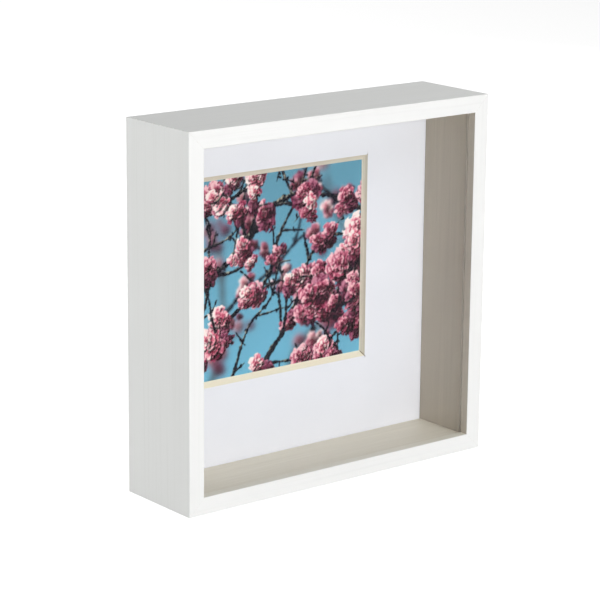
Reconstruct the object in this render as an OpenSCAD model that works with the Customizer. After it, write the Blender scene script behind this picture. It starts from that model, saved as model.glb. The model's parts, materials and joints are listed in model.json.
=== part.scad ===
// Deep square shadow box: mitred rails, glass, spacers, a bevelled mat with a print,
// and a back panel held by eight bendable tabs, with a hanging ring.
// The front faces -Y, +Z is up, and the origin is the middle of the underside.

/* [Frame] */
// Outside width and height of the square frame
frame_size = 220; // [190:1:320]
// Depth of the frame from its front face to the wall
frame_depth = 60; // [56:1:80]
// Width of the front lip around the glass
lip_w = 10.3; // [9.6:0.1:14]
// Thickness of the front lip
lip_t = 6; // [4:0.5:8]
// Thickness of the side walls behind the lip
wall_t = 7; // [6.5:0.1:7.2]

/* [Glass and spacers] */
// Thickness of the glass pane
glass_t = 2; // [1.5:0.5:3]
// Gap between a loose sheet and the walls at its two sides and top
sheet_gap = 1; // [0.5:0.1:1.5]
// Thickness of the spacer strips that line the walls
spacer_t = 2.2; // [1.5:0.1:2.4]
// Depth of the spacer strips, from the glass to the mat
spacer_d = 38; // [20:1:38]

/* [Mat and print] */
// Thickness of the mat board
mat_t = 2.5; // [1.5:0.1:3.2]
// Side of the square window at the mat's front face
window_w = 124.8; // [60:0.1:126]
// How far the bevel at each side of the window runs across the mat
bevel_side = 2.5; // [1:0.1:3.2]
// How far the bevel at the top and bottom of the window runs across the mat
bevel_level = 3.1; // [1:0.1:3.2]
// Sideways offset of the window from the middle of the frame
window_dx = -7.3; // [-10:0.1:10]
// Height of the window's middle above the middle of the frame
window_dz = 10.1; // [0:0.1:11]
// Side of the square print
print_w = 127; // [127:1:130]
// Thickness of the print
print_t = 0.3; // [0.2:0.05:0.4]
// Thickness of the paper tape that hangs the print
tape_t = 0.2; // [0.15:0.05:0.3]

/* [Back panel and tabs] */
// Thickness of the back panel
panel_t = 3; // [2.5:0.1:3.2]
// Width of a bendable tab
tab_w = 7; // [6:0.5:9]
// Length of a tab from its bend to its tip
tab_len = 11; // [8:0.5:14]
// Thickness of the tab's steel strip
tab_t = 0.6; // [0.4:0.1:0.8]
// Distance of each tab from the middle of its rail
tab_offset = 55; // [40:1:70]

/* [Hanger] */
// Distance of the ring's pivot below the top of the frame
hanger_drop = 26; // [24:1:40]
// Diameter of the ring's wire
wire_d = 2; // [1.6:0.1:2.2]
// Radius of the ring's round side, to the middle of the wire
ring_r = 10; // [9:0.5:12]
// Width of the folded strap that holds the ring
strap_w = 12; // [10:0.5:12]

/* [Hidden] */
$fn = 64;

// Turn about the depth axis that takes the bottom rail to each side
BOTTOM = 0;
LEFT = 90;
TOP = 180;
RIGHT = 270;

// Planes across the depth, from the front to the wall
front_y = -frame_depth / 2;
rear_y = frame_depth / 2;
glass_y = front_y + lip_t;
spacer_y = glass_y + glass_t;
mat_y = spacer_y + spacer_d;
print_y = mat_y + mat_t;
panel_y = print_y + print_t + tape_t;
panel_back_y = panel_y + panel_t;

// The rebate inside the walls, and the loose sheets that stand in it
rebate_w = frame_size - 2 * wall_t;
sheet_w = rebate_w - 2 * sheet_gap;
middle_z = frame_size / 2;
window_z = middle_z + window_dz;
print_top_z = window_z + print_w / 2;

// Bendable tabs: the bend stands clear of the wall and of the panel
tab_gap = 0.2;
tab_corner_r = 2;
tab_bend_z = wall_t + tab_gap + tab_t / 2;
tab_bend_y = panel_back_y + tab_gap + tab_t / 2;
anchor_depth = 5.5;
anchor_tip_w = 3;

// V-shaped nails across the mitres
nail_inset = 2.6;
nail_leg = 3.4;
nail_t = 0.5;
nail_depth = 12;
nail_sink = 0.1;

// Paper tape over the top edge of the print
tape_w = 12;
tape_lap = 8;
tape_spread = 35;

// Hanger: a strip folded round the ring's straight bar and riveted to the panel
strap_t = 0.8;
bore_gap = 0.07;
ring_corner_r = 3;
bore_r = wire_d / 2 + bore_gap;
barrel_r = bore_r + strap_t;
pivot_y = panel_back_y + barrel_r;
pivot_z = frame_size - hanger_drop;
strap_len = 9;
strap_corner_r = 2.5;
rivet_r = 1.5;
rivet_gap = 0.05;
rivet_spread = 3.1;
rivet_drop = 5.2;
rivet_head_r = 2.4;
rivet_head_h = 1;
rivet_tail_r = 2.2;
rivet_tail_t = 0.5;

// Cutting tools run past the faces they cut
past = 1;

// Moves a shape made on the bottom rail to another side of the frame
module on_side(turn) {
    translate([0, 0, middle_z])
        rotate([0, turn, 0])
            translate([0, 0, -middle_z])
                children();
}

// A block from the left, front and lower edges given
module block(x, y, z, size_x, size_y, size_z) {
    translate([x, y, z])
        cube([size_x, size_y, size_z]);
}

// An outline drawn across and up, made thick from y towards the wall
module slab(y, thickness) {
    translate([0, y + thickness, 0])
        rotate([90, 0, 0])
            linear_extrude(thickness)
                children();
}

// One mitred rail with an L section, as it lies at the bottom
module rail_blank() {
    half = frame_size / 2;
    intersection() {
        rotate([90, 0, 90])
            linear_extrude(frame_size, center = true)
                polygon([
                    [front_y, 0],
                    [rear_y, 0],
                    [rear_y, wall_t],
                    [glass_y, wall_t],
                    [glass_y, lip_w],
                    [front_y, lip_w]
                ]);
        slab(front_y, frame_depth)
            polygon([
                [-half, 0],
                [half, 0],
                [half - lip_w, lip_w],
                [-half + lip_w, lip_w]
            ]);
    }
}

// The pointed foot of a tab, driven into the wall of the bottom rail
module anchor(along) {
    slab(tab_bend_y - tab_t / 2, tab_t)
        polygon([
            [along - tab_w / 2, wall_t],
            [along - tab_w / 2, wall_t - anchor_depth / 2],
            [along - anchor_tip_w / 2, wall_t - anchor_depth],
            [along + anchor_tip_w / 2, wall_t - anchor_depth],
            [along + tab_w / 2, wall_t - anchor_depth / 2],
            [along + tab_w / 2, wall_t]
        ]);
}

// A nail folded to a right angle across the lower left mitre
module v_nail() {
    corner = -frame_size / 2 + nail_inset;
    y = rear_y - nail_sink - nail_depth;
    block(corner, y, nail_inset, nail_leg, nail_depth, nail_t);
    block(corner, y, nail_inset, nail_t, nail_depth, nail_leg);
}

// The slot that a nail leaves, open at the rear face
module v_nail_slot() {
    corner = -frame_size / 2 + nail_inset;
    y = rear_y - nail_sink - nail_depth;
    block(corner, y, nail_inset, nail_leg, nail_depth + past, nail_t);
    block(corner, y, nail_inset, nail_t, nail_depth + past, nail_leg);
}

// A finished rail: the blank less the slots for its two tabs and two nails
module rail(turn) {
    color("white")
        on_side(turn)
            difference() {
                rail_blank();
                for (along = [-tab_offset, tab_offset])
                    anchor(along);
                v_nail_slot();
                on_side(RIGHT)
                    v_nail_slot();
            }
}

// A loose sheet standing on the bottom wall, with a gap at its sides and top
module sheet(y, thickness) {
    block(-sheet_w / 2, y, wall_t, sheet_w, thickness, rebate_w - sheet_gap);
}

// The tongue of a tab with its round bend, as it lies at the bottom rail
module flex_tab(turn, along) {
    straight = tab_len - tab_corner_r;
    color("gray")
        on_side(turn)
            translate([along, tab_bend_y, tab_bend_z]) {
                rotate([0, 90, 0])
                    cylinder(d = tab_t, h = tab_w, center = true);
                slab(-tab_t / 2, tab_t) {
                    translate([-tab_w / 2, 0])
                        square([tab_w, straight]);
                    translate([-tab_w / 2 + tab_corner_r, 0])
                        square([tab_w - 2 * tab_corner_r, tab_len]);
                    for (side = [-1, 1])
                        translate([side * (tab_w / 2 - tab_corner_r), straight])
                            circle(r = tab_corner_r);
                }
            }
}

// Rivet places on the hanger, for shapes drawn along the depth
module at_rivets() {
    for (side = [-1, 1])
        translate([side * rivet_spread, 0, pivot_z - rivet_drop])
            rotate([-90, 0, 0])
                children();
}

module rail_bottom() {
    rail(BOTTOM);
}

module rail_left() {
    rail(LEFT);
}

module rail_top() {
    rail(TOP);
}

module rail_right() {
    rail(RIGHT);
}

module corner_v_nails() {
    color("silver")
        for (turn = [BOTTOM, LEFT, TOP, RIGHT])
            on_side(turn)
                v_nail();
}

module glass_pane() {
    color("lightcyan", 0.3)
        sheet(glass_y, glass_t);
}

module spacer_bottom() {
    color("tan")
        block(-rebate_w / 2, spacer_y, wall_t, rebate_w, spacer_d, spacer_t);
}

module spacer_top() {
    color("tan")
        on_side(TOP)
            block(-rebate_w / 2, spacer_y, wall_t, rebate_w, spacer_d, spacer_t);
}

// The side strips stand between the bottom and top ones
module side_spacer(turn) {
    length = rebate_w - 2 * spacer_t;
    color("tan")
        on_side(turn)
            block(-length / 2, spacer_y, wall_t, length, spacer_d, spacer_t);
}

module spacer_left() {
    side_spacer(LEFT);
}

module spacer_right() {
    side_spacer(RIGHT);
}

// A long wedge that cuts two opposite edges of the window, narrower towards the print
module window_wedge(run) {
    slope = run / mat_t;
    wide = window_w / 2 + past * slope;
    narrow = window_w / 2 - run - past * slope;
    linear_extrude(window_w + 4 * past, center = true)
        polygon([
            [-wide, mat_y - past],
            [wide, mat_y - past],
            [narrow, print_y + past],
            [-narrow, print_y + past]
        ]);
}

// Two crossed wedges meet in the bevel's corners
module window_cut() {
    translate([window_dx, 0, window_z])
        intersection() {
            window_wedge(bevel_side);
            rotate([0, 90, 0])
                window_wedge(bevel_level);
        }
}

module mat_board() {
    color("ghostwhite")
        difference() {
            sheet(mat_y, mat_t);
            window_cut();
        }
}

module photo_print() {
    color("pink")
        block(window_dx - print_w / 2, print_y, print_top_z - print_w, print_w, print_t, print_w);
}

// Two strips that lap over the print's top edge and stick to the back of the mat
module print_tape() {
    left = window_dx - tape_w / 2;
    color("beige")
        for (side = [-1, 1])
            translate([side * tape_spread, 0, 0]) {
                block(left, print_y + print_t, print_top_z - tape_lap, tape_w, tape_t, tape_lap);
                block(left, print_y, print_top_z, tape_w, print_t + tape_t, tape_t);
                block(left, print_y, print_top_z, tape_w, tape_t, tape_lap);
            }
}

module back_panel() {
    color("peru")
        difference() {
            sheet(panel_y, panel_t);
            at_rivets() {
                translate([0, 0, panel_y - past])
                    cylinder(r = rivet_r + rivet_gap, h = panel_t + 2 * past);
                translate([0, 0, panel_y - past])
                    cylinder(r = rivet_tail_r + rivet_gap, h = rivet_tail_t + past);
            }
        }
}

module tab_anchors() {
    color("gray")
        for (turn = [BOTTOM, LEFT, TOP, RIGHT])
            on_side(turn)
                for (along = [-tab_offset, tab_offset])
                    anchor(along);
}

module tab_bottom_left() {
    flex_tab(BOTTOM, -tab_offset);
}

module tab_bottom_right() {
    flex_tab(BOTTOM, tab_offset);
}

module tab_left_lower() {
    flex_tab(LEFT, tab_offset);
}

module tab_left_upper() {
    flex_tab(LEFT, -tab_offset);
}

module tab_top_left() {
    flex_tab(TOP, tab_offset);
}

module tab_top_right() {
    flex_tab(TOP, -tab_offset);
}

module tab_right_lower() {
    flex_tab(RIGHT, -tab_offset);
}

module tab_right_upper() {
    flex_tab(RIGHT, tab_offset);
}

// Two layers of strip with a barrel at the fold, round the ring's bar
module hanger_strap() {
    straight = strap_len - strap_corner_r;
    inner_w = strap_w - 2 * strap_corner_r;
    color("silver")
        difference() {
            union() {
                translate([0, pivot_y, pivot_z])
                    rotate([0, 90, 0])
                        cylinder(r = barrel_r, h = strap_w, center = true);
                translate([0, 0, pivot_z])
                    slab(panel_back_y, 2 * strap_t) {
                        translate([-strap_w / 2, -straight])
                            square([strap_w, straight]);
                        translate([-inner_w / 2, -strap_len])
                            square([inner_w, strap_len]);
                        for (side = [-1, 1])
                            translate([side * inner_w / 2, -straight])
                                circle(r = strap_corner_r);
                    }
            }
            translate([0, pivot_y, pivot_z])
                rotate([0, 90, 0])
                    cylinder(r = bore_r, h = strap_w + 2 * past, center = true);
            at_rivets()
                translate([0, 0, panel_back_y - past])
                    cylinder(r = rivet_r + rivet_gap, h = 2 * strap_t + 2 * past);
        }
}

// A D of round wire that hangs from its straight bar
module hanger_ring() {
    bar = 2 * (ring_r - ring_corner_r);
    color("silver")
        translate([0, pivot_y, pivot_z]) {
            rotate([0, 90, 0])
                cylinder(d = wire_d, h = bar, center = true);
            for (side = [0, 1])
                mirror([side, 0, 0])
                    translate([bar / 2, 0, -ring_corner_r])
                        rotate([90, 0, 0])
                            rotate_extrude(angle = 90)
                                translate([ring_corner_r, 0])
                                    circle(d = wire_d);
            translate([0, 0, -ring_corner_r])
                rotate([90, 0, 0])
                    rotate([0, 0, 180])
                        rotate_extrude(angle = 180)
                            translate([ring_r, 0])
                                circle(d = wire_d);
        }
}

// Domed heads behind the strap, and tails clinched flush into the front of the panel
module hanger_rivets() {
    head_y = panel_back_y + 2 * strap_t;
    dome_r = (pow(rivet_head_r, 2) + pow(rivet_head_h, 2)) / (2 * rivet_head_h);
    color("silver")
        at_rivets() {
            translate([0, 0, panel_y])
                cylinder(r = rivet_tail_r, h = rivet_tail_t);
            translate([0, 0, panel_y])
                cylinder(r = rivet_r, h = head_y - panel_y);
            intersection() {
                translate([0, 0, head_y + rivet_head_h - dome_r])
                    sphere(r = dome_r);
                translate([0, 0, head_y])
                    cylinder(r = rivet_head_r, h = rivet_head_h + past);
            }
        }
}

rail_bottom();
rail_left();
rail_top();
rail_right();
corner_v_nails();
glass_pane();
spacer_bottom();
spacer_left();
spacer_top();
spacer_right();
mat_board();
photo_print();
print_tape();
back_panel();
tab_anchors();
tab_bottom_left();
tab_bottom_right();
tab_left_lower();
tab_left_upper();
tab_top_left();
tab_top_right();
tab_right_lower();
tab_right_upper();
hanger_strap();
hanger_ring();
hanger_rivets();
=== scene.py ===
"""The looks of a square shadow box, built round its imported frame. Sizes are in metres."""

import json
import math

import bmesh
import bpy
import numpy as np
from mathutils import Matrix, Vector


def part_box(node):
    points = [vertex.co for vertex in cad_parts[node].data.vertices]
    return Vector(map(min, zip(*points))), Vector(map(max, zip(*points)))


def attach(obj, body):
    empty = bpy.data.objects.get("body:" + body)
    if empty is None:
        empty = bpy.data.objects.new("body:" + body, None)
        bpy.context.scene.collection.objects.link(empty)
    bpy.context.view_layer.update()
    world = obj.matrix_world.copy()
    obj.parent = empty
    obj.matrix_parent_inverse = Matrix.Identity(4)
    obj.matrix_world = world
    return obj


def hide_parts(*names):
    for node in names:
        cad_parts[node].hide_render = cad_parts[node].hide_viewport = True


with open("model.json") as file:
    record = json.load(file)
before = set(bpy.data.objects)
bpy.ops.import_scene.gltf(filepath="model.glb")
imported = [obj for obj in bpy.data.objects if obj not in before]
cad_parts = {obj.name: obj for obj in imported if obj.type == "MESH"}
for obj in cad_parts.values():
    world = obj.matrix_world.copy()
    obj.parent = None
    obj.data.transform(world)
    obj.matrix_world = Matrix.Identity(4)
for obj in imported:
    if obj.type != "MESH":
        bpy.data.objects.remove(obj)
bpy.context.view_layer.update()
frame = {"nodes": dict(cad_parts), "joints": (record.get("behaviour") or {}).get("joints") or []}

MM = 0.001
ROOT = "frame"

# -------------------- places, read from the frame

rail_low, rail_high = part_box("rail_bottom")
glass_low, glass_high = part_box("glass_pane")
mat_low, mat_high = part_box("mat_board")
print_low, print_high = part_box("photo_print")
panel_low, panel_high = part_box("back_panel")

SIZE = rail_high.x - rail_low.x
FRONT_Y = rail_low.y
REAR_Y = rail_high.y
LIP_W = rail_high.z - rail_low.z
LIP_BACK_Y = glass_low.y
WALL_T = glass_low.z - rail_low.z
MID_Z = rail_low.z + SIZE / 2
SIDES = {"bottom": 0, "left": 90, "top": 180, "right": 270}
AXIS_OF = {"bottom": "X", "left": "Z", "top": "X", "right": "Z"}  # the way each side's pieces run


def turned(side):
    """The turn about the depth axis that takes a shape at the bottom rail to that side."""
    centre = Matrix.Translation((0, 0, MID_Z))
    return centre @ Matrix.Rotation(math.radians(SIDES[side]), 4, "Y") @ centre.inverted()


# -------------------- materials


class Surface:
    """A node material round one Principled shader, with short ways to add what drives it."""

    def __init__(self, name, **sockets):
        self.material = bpy.data.materials.new(name)
        self.material.use_nodes = True
        self.tree = self.material.node_tree
        self.shader = self.tree.nodes["Principled BSDF"]
        self.last_bump = None
        for socket, value in sockets.items():
            self.shader.inputs[socket.replace("_", " ")].default_value = value
        self.place = self.node("ShaderNodeTexCoord").outputs["Object"]

    def node(self, kind, inputs=(), **settings):
        made = self.tree.nodes.new(kind)
        for key, value in settings.items():
            setattr(made, key, value)
        for socket, value in dict(inputs).items():
            self.feed(made.inputs[socket], value)
        return made

    def feed(self, socket, value):
        """Links an output, or sets a plain value."""
        if isinstance(value, bpy.types.NodeSocket):
            self.tree.links.new(value, socket)
        else:
            socket.default_value = value

    def stretched(self, scale):
        """The place on the object, scaled by a different amount along each axis."""
        return self.node("ShaderNodeMapping", {"Vector": self.place, "Scale": scale}).outputs[0]

    def noise(self, scale, detail=4.0, roughness=0.55, distortion=0.0):
        """Noise with features about 1/scale metres wide; a vector scale stretches it."""
        inputs = {
            "Vector": self.stretched(scale if hasattr(scale, "__len__") else (scale,) * 3),
            "Scale": 1.0,
            "Detail": detail,
            "Roughness": roughness,
            "Distortion": distortion,
        }
        return self.node("ShaderNodeTexNoise", inputs).outputs["Fac"]

    def spread(self, value, low, high, to_low=0.0, to_high=1.0):
        """Takes the range low..high of a value to another range, and clamps it there."""
        return self.node(
            "ShaderNodeMapRange",
            {"Value": value, "From Min": low, "From Max": high, "To Min": to_low, "To Max": to_high},
        ).outputs["Result"]

    def blend(self, share, first, second):
        """A colour between two others."""
        mix = self.node("ShaderNodeMix", data_type="RGBA", blend_type="MIX")
        self.feed(mix.inputs["Factor"], share)
        self.feed(mix.inputs["A"], first)
        self.feed(mix.inputs["B"], second)
        return mix.outputs["Result"]

    def mottle(self, noise, low, high, ground, patches, most=1.0):
        """One colour with patches of another where the noise passes from low to high."""
        return self.blend(self.spread(noise, low, high, 0.0, most), ground, patches)

    def colour(self, value):
        self.feed(self.shader.inputs["Base Color"], value)

    def rough(self, noise, low, high):
        """Roughness that follows a noise."""
        self.feed(self.shader.inputs["Roughness"], self.spread(noise, 0.3, 0.7, low, high))

    def relief(self, height, depth, strength=1.0):
        """Fine relief: height from 0 to 1 stands for that depth in metres. Calls stack up."""
        bump = self.node("ShaderNodeBump", {"Height": height, "Distance": depth, "Strength": strength})
        if self.last_bump:
            self.feed(bump.inputs["Normal"], self.last_bump.outputs["Normal"])
        self.last_bump = bump
        self.feed(self.shader.inputs["Normal"], bump.outputs["Normal"])


def along_axis(axis, along, across):
    """A scale with one value along an axis and another across it."""
    return tuple(along if name == axis else across for name in "XYZ")


def rgba(red, green, blue):
    return (red, green, blue, 1.0)


MICRON = 0.000001

WHITE_FOIL = rgba(0.86, 0.86, 0.85)
WHITE_FOIL_STREAK = rgba(0.80, 0.80, 0.785)
SPACER_LIT_AND_SHADED_TONES = {  # paint, and the grain that shows through it, by the way the strip runs; the side strips' darker pair is painted shade
    "X": (rgba(0.79, 0.745, 0.635), rgba(0.69, 0.645, 0.54)),
    "Z": (rgba(0.515, 0.46, 0.378), rgba(0.44, 0.39, 0.32)),
    # a paler pair for the strips' front arris: a painted highlight
    "painted_highlight": (rgba(0.92, 0.89, 0.82), rgba(0.86, 0.82, 0.74)),
}
LIP_LIT_AND_SHADED_TONES = {  # the lip's inner face, darker than the front foil, and its faint grain; the side rails' darker pair is painted shade
    "X": (rgba(0.80, 0.77, 0.67), rgba(0.74, 0.71, 0.61)),
    "Z": (rgba(0.585, 0.53, 0.445), rgba(0.545, 0.49, 0.41)),
}
MAT_WHITE = rgba(0.835, 0.841, 0.898)
MAT_WHITE_WARM = rgba(0.815, 0.821, 0.878)
MAT_CORE_SHADED_BY_SIDE = {  # the cut core on each side of the window, and its darker plies; the top and side copies are darker as painted shade, and the slit pair is painted shadow in the knife cuts
    "bottom": (rgba(0.93, 0.87, 0.71), rgba(0.85, 0.78, 0.61)),
    "top": (rgba(0.82, 0.75, 0.635), rgba(0.65, 0.58, 0.47)),
    "side": (rgba(0.84, 0.785, 0.665), rgba(0.50, 0.445, 0.36)),
    "shaded_slit": (rgba(0.26, 0.19, 0.10), rgba(0.16, 0.11, 0.06)),
}
PAPER_BACK = rgba(0.86, 0.86, 0.84)
PAPER_BACK_DULL = rgba(0.80, 0.80, 0.78)
BOARD = rgba(0.42, 0.30, 0.19)
BOARD_DARK = rgba(0.26, 0.17, 0.10)
HARDBOARD = rgba(0.235, 0.135, 0.070)
HARDBOARD_DARK = rgba(0.135, 0.072, 0.036)
HARDBOARD_FLECK = rgba(0.38, 0.25, 0.14)
ZINC = rgba(0.60, 0.61, 0.63)
ZINC_DULL = rgba(0.42, 0.43, 0.45)
NICKEL = rgba(0.72, 0.69, 0.64)
NICKEL_DULL = rgba(0.56, 0.53, 0.48)
TAPE = rgba(0.72, 0.66, 0.52)
TAPE_DARK = rgba(0.62, 0.55, 0.41)
FLOOR_GLOW = 0.74


def foil(name, axis, pale, streak):
    """Foil on board: satin, with a fine embossed grain along the rail."""
    s = Surface(name + "_" + axis)
    streaks = s.noise(along_axis(axis, 9, 620), detail=5, roughness=0.62)
    pores = s.noise(along_axis(axis, 60, 2600), detail=2)
    broad = s.noise(along_axis(axis, 5, 40), detail=2)
    tone = s.mottle(streaks, 0.50, 0.78, pale, streak, 0.8)
    s.colour(s.mottle(broad, 0.35, 0.75, tone, streak, 0.25))
    s.rough(pores, 0.40, 0.52)
    s.relief(streaks, 60 * MICRON, 0.55)
    s.relief(pores, 20 * MICRON, 0.35)
    return s.material


def raw_board():
    """The cut face of fibre board, where no foil covers it."""
    s = Surface("raw_board", Roughness=0.85)
    fibres = s.noise(2400, detail=5, roughness=0.7)
    layers = s.noise(300, detail=3)
    s.colour(s.mottle(fibres, 0.35, 0.7, BOARD, BOARD_DARK))
    s.rough(layers, 0.78, 0.92)
    s.relief(fibres, 50 * MICRON, 0.8)
    return s.material


def spacer_wood_lit_and_shaded(axis, painted_highlight=False):
    """Thin cream paint over a planed strip, so that the grain shows through; the side strips' copies
    are darker as painted shade, and the front arris copy is paler as a painted highlight.
    """
    pale, streak = SPACER_LIT_AND_SHADED_TONES["painted_highlight" if painted_highlight else axis]
    s = Surface(("worn_wood_" if painted_highlight else "spacer_wood_lit_and_shaded_") + axis)
    wander = s.noise(along_axis(axis, 7, 120), detail=3, distortion=0.4)
    grain = s.noise(along_axis(axis, 11, 900), detail=6, roughness=0.68)
    pores = s.noise(along_axis(axis, 110, 3600), detail=2)
    tone = s.mottle(grain, 0.42, 0.72, pale, streak, 0.75)
    tone = s.mottle(wander, 0.35, 0.7, tone, streak, 0.35)
    s.colour(s.mottle(pores, 0.62, 0.75, tone, streak, 0.35))
    s.rough(grain, 0.42, 0.58)
    s.relief(grain, 100 * MICRON, 0.6)
    s.relief(pores, 40 * MICRON, 0.5)
    return s.material


def mat_face():
    """The matt face paper of the mat: a soft tooth with a few stray fibres."""
    s = Surface("mat_face", Specular_IOR_Level=0.25)
    tooth = s.noise(1500, detail=4, roughness=0.6)
    cloud = s.noise(26, detail=2)
    fibres = s.noise((2600, 2600, 420), detail=2, distortion=1.2)
    s.colour(s.mottle(cloud, 0.3, 0.7, MAT_WHITE, MAT_WHITE_WARM))
    s.rough(fibres, 0.82, 0.95)
    s.relief(tooth, 70 * MICRON, 0.6)
    s.relief(fibres, 30 * MICRON, 0.35)
    return s.material


def mat_core_shaded_by_side(side):
    """The cut core: pressed plies show as lines along the bevel, darker towards the face paper; the
    top and side copies are darker as painted shade.
    """
    s = Surface("mat_core_shaded_by_side_" + side, Specular_IOR_Level=0.2)
    pale, dark = MAT_CORE_SHADED_BY_SIDE[side]
    layers = s.noise((30, 1500, 30), detail=4, roughness=0.75)
    fuzz = s.noise(3000, detail=3)
    depth = s.node("ShaderNodeSeparateXYZ", {"Vector": s.place}).outputs["Y"]
    tone = s.blend(s.spread(depth, mat_low.y, mat_high.y, 0.9, 0.0), pale, dark)
    s.colour(s.mottle(layers, 0.42, 0.62, tone, dark, 0.6))
    s.rough(fuzz, 0.85, 0.97)
    s.relief(layers, 50 * MICRON, 0.6)
    return s.material


def print_ink():
    """Printed paper: the picture's colours under a thin semi-gloss coat."""
    s = Surface("print_ink", Specular_IOR_Level=0.12)
    ink = s.node("ShaderNodeVertexColor", layer_name="artwork").outputs["Color"]
    tooth = s.noise(1100, detail=3)
    s.colour(ink)
    s.rough(tooth, 0.42, 0.55)
    s.relief(tooth, 20 * MICRON, 0.4)
    return s.material


def print_back():
    """The bare back of the print's paper."""
    s = Surface("print_back", Specular_IOR_Level=0.2)
    cloud = s.noise(1200, detail=4)
    s.colour(s.mottle(cloud, 0.3, 0.7, PAPER_BACK, PAPER_BACK_DULL))
    s.rough(cloud, 0.8, 0.95)
    return s.material


def hardboard():
    """Brown hardboard: short fibres pressed flat, with pale flecks and faint mottling."""
    s = Surface("hardboard", Specular_IOR_Level=0.35)
    cloud = s.noise(38, detail=4, roughness=0.6)
    fibres = s.noise((1500, 700, 420), detail=5, roughness=0.7, distortion=1.5)
    flecks = s.noise((420, 900, 1300), detail=3, distortion=2.0)
    tone = s.mottle(fibres, 0.32, 0.68, HARDBOARD_DARK, HARDBOARD)
    tone = s.mottle(cloud, 0.35, 0.7, tone, HARDBOARD_DARK, 0.45)
    s.colour(s.mottle(flecks, 0.62, 0.74, tone, HARDBOARD_FLECK, 0.7))
    s.rough(cloud, 0.48, 0.66)
    s.relief(fibres, 60 * MICRON, 0.7)
    return s.material


def zinc_steel():
    """Zinc-plated strip: soft brushed shine with dull patches where it has aged."""
    s = Surface("zinc_steel", Metallic=1.0)
    patches = s.noise(420, detail=4)
    brushing = s.noise((4200, 4200, 260), detail=3)
    s.colour(s.mottle(patches, 0.35, 0.7, ZINC, ZINC_DULL))
    s.rough(patches, 0.28, 0.48)
    s.relief(brushing, 10 * MICRON, 0.5)
    return s.material


def nickel_steel():
    """Nickel-plated wire and strip: bright, with hairline rub marks."""
    s = Surface("nickel_steel", Metallic=1.0)
    patches = s.noise(300, detail=4)
    rubs = s.noise((260, 5200, 5200), detail=2)
    s.colour(s.mottle(patches, 0.4, 0.7, NICKEL, NICKEL_DULL))
    s.rough(rubs, 0.16, 0.34)
    s.relief(rubs, 8 * MICRON, 0.4)
    return s.material


def paper_tape():
    """Gummed paper tape."""
    s = Surface("paper_tape", Specular_IOR_Level=0.25)
    fibres = s.noise((1900, 600, 380), detail=4, distortion=1.0)
    s.colour(s.mottle(fibres, 0.35, 0.7, TAPE, TAPE_DARK))
    s.rough(fibres, 0.75, 0.9)
    s.relief(fibres, 30 * MICRON, 0.5)
    return s.material


def clear_glass():
    """Low-reflection picture glass. Lamps' light and scattered light pass straight through."""
    s = Surface("clear_glass", IOR=1.18, Transmission_Weight=1.0, Roughness=0.0)
    s.colour(rgba(0.99, 0.994, 0.992))
    see = s.node("ShaderNodeBsdfTransparent", {"Color": rgba(0.98, 0.984, 0.982)}).outputs[0]
    rays = s.node("ShaderNodeLightPath")
    shown = s.shader.outputs[0]
    for ray in ("Is Diffuse Ray", "Is Shadow Ray"):
        mix = s.node("ShaderNodeMixShader")
        s.feed(mix.inputs[0], rays.outputs[ray])
        s.feed(mix.inputs[1], shown)
        s.feed(mix.inputs[2], see)
        shown = mix.outputs[0]
    s.feed(s.tree.nodes["Material Output"].inputs["Surface"], shown)
    return s.material


def studio_floor():
    """A pale sweep under the frame. Its glow is only for the eye and throws no light."""
    s = Surface("studio_floor", Roughness=0.9, Specular_IOR_Level=0.1)
    s.colour(rgba(0.88, 0.88, 0.88))
    s.shader.inputs["Emission Color"].default_value = rgba(1, 1, 1)
    rays = s.node("ShaderNodeLightPath")
    seen = rays.outputs["Is Camera Ray"]
    glow = s.node("ShaderNodeMath", {0: seen, 1: FLOOR_GLOW}, operation="MULTIPLY")
    s.feed(s.shader.inputs["Emission Strength"], glow.outputs[0])
    return s.material


# -------------------- mesh building


def add_object(name, data):
    made = bpy.data.objects.new(name, data)
    bpy.context.scene.collection.objects.link(made)
    return made


def add_piece(name, mesh, materials, stands_for, body=ROOT, flat=False):
    """Puts a finished mesh into the scene as a piece that rides on a body."""
    if not mesh.materials:
        for material in materials:
            mesh.materials.append(material)
    piece = add_object(name, mesh)
    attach(piece, body)
    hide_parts(*stands_for)
    if flat:
        flat_normals(piece)


def shade(mesh, sharp_degrees=35):
    """Smooth shading that keeps sharp edges."""
    mesh.shade_smooth()
    mesh.set_sharp_from_angle(angle=math.radians(sharp_degrees))


def flat_normals(piece):
    """Keeps wide faces flat beside narrow rounded edges."""
    weighted = piece.modifiers.new("flat_faces", "WEIGHTED_NORMAL")
    weighted.keep_sharp = True
    weighted.weight = 100


def mesh_from(name, verts, faces, slots=None):
    """A mesh from points and faces, with its normals facing out."""
    mesh = bpy.data.meshes.new(name)
    mesh.from_pydata([tuple(v) for v in verts], [], faces)
    if slots is not None:
        mesh.polygons.foreach_set("material_index", slots)
    work = bmesh.new()
    work.from_mesh(mesh)
    bmesh.ops.recalc_face_normals(work, faces=work.faces)
    work.to_mesh(mesh)
    work.free()
    return mesh


def rounded_bar(name, low, high, radius):
    """A box with rounded arrises."""
    low, high = Vector(low), Vector(high)
    work = bmesh.new()
    bmesh.ops.create_cube(work, size=1.0)
    for vert in work.verts:
        vert.co = Vector(low[k] if vert.co[k] < 0 else high[k] for k in range(3))
    edges = work.edges[:]
    bmesh.ops.bevel(work, geom=edges, offset=radius, segments=3, profile=0.5, affect="EDGES")
    mesh = bpy.data.meshes.new(name)
    work.to_mesh(mesh)
    work.free()
    shade(mesh)
    return mesh


CUT_SLOT = 1  # the material slot of a cut's walls, unless the cutter names its own


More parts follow.
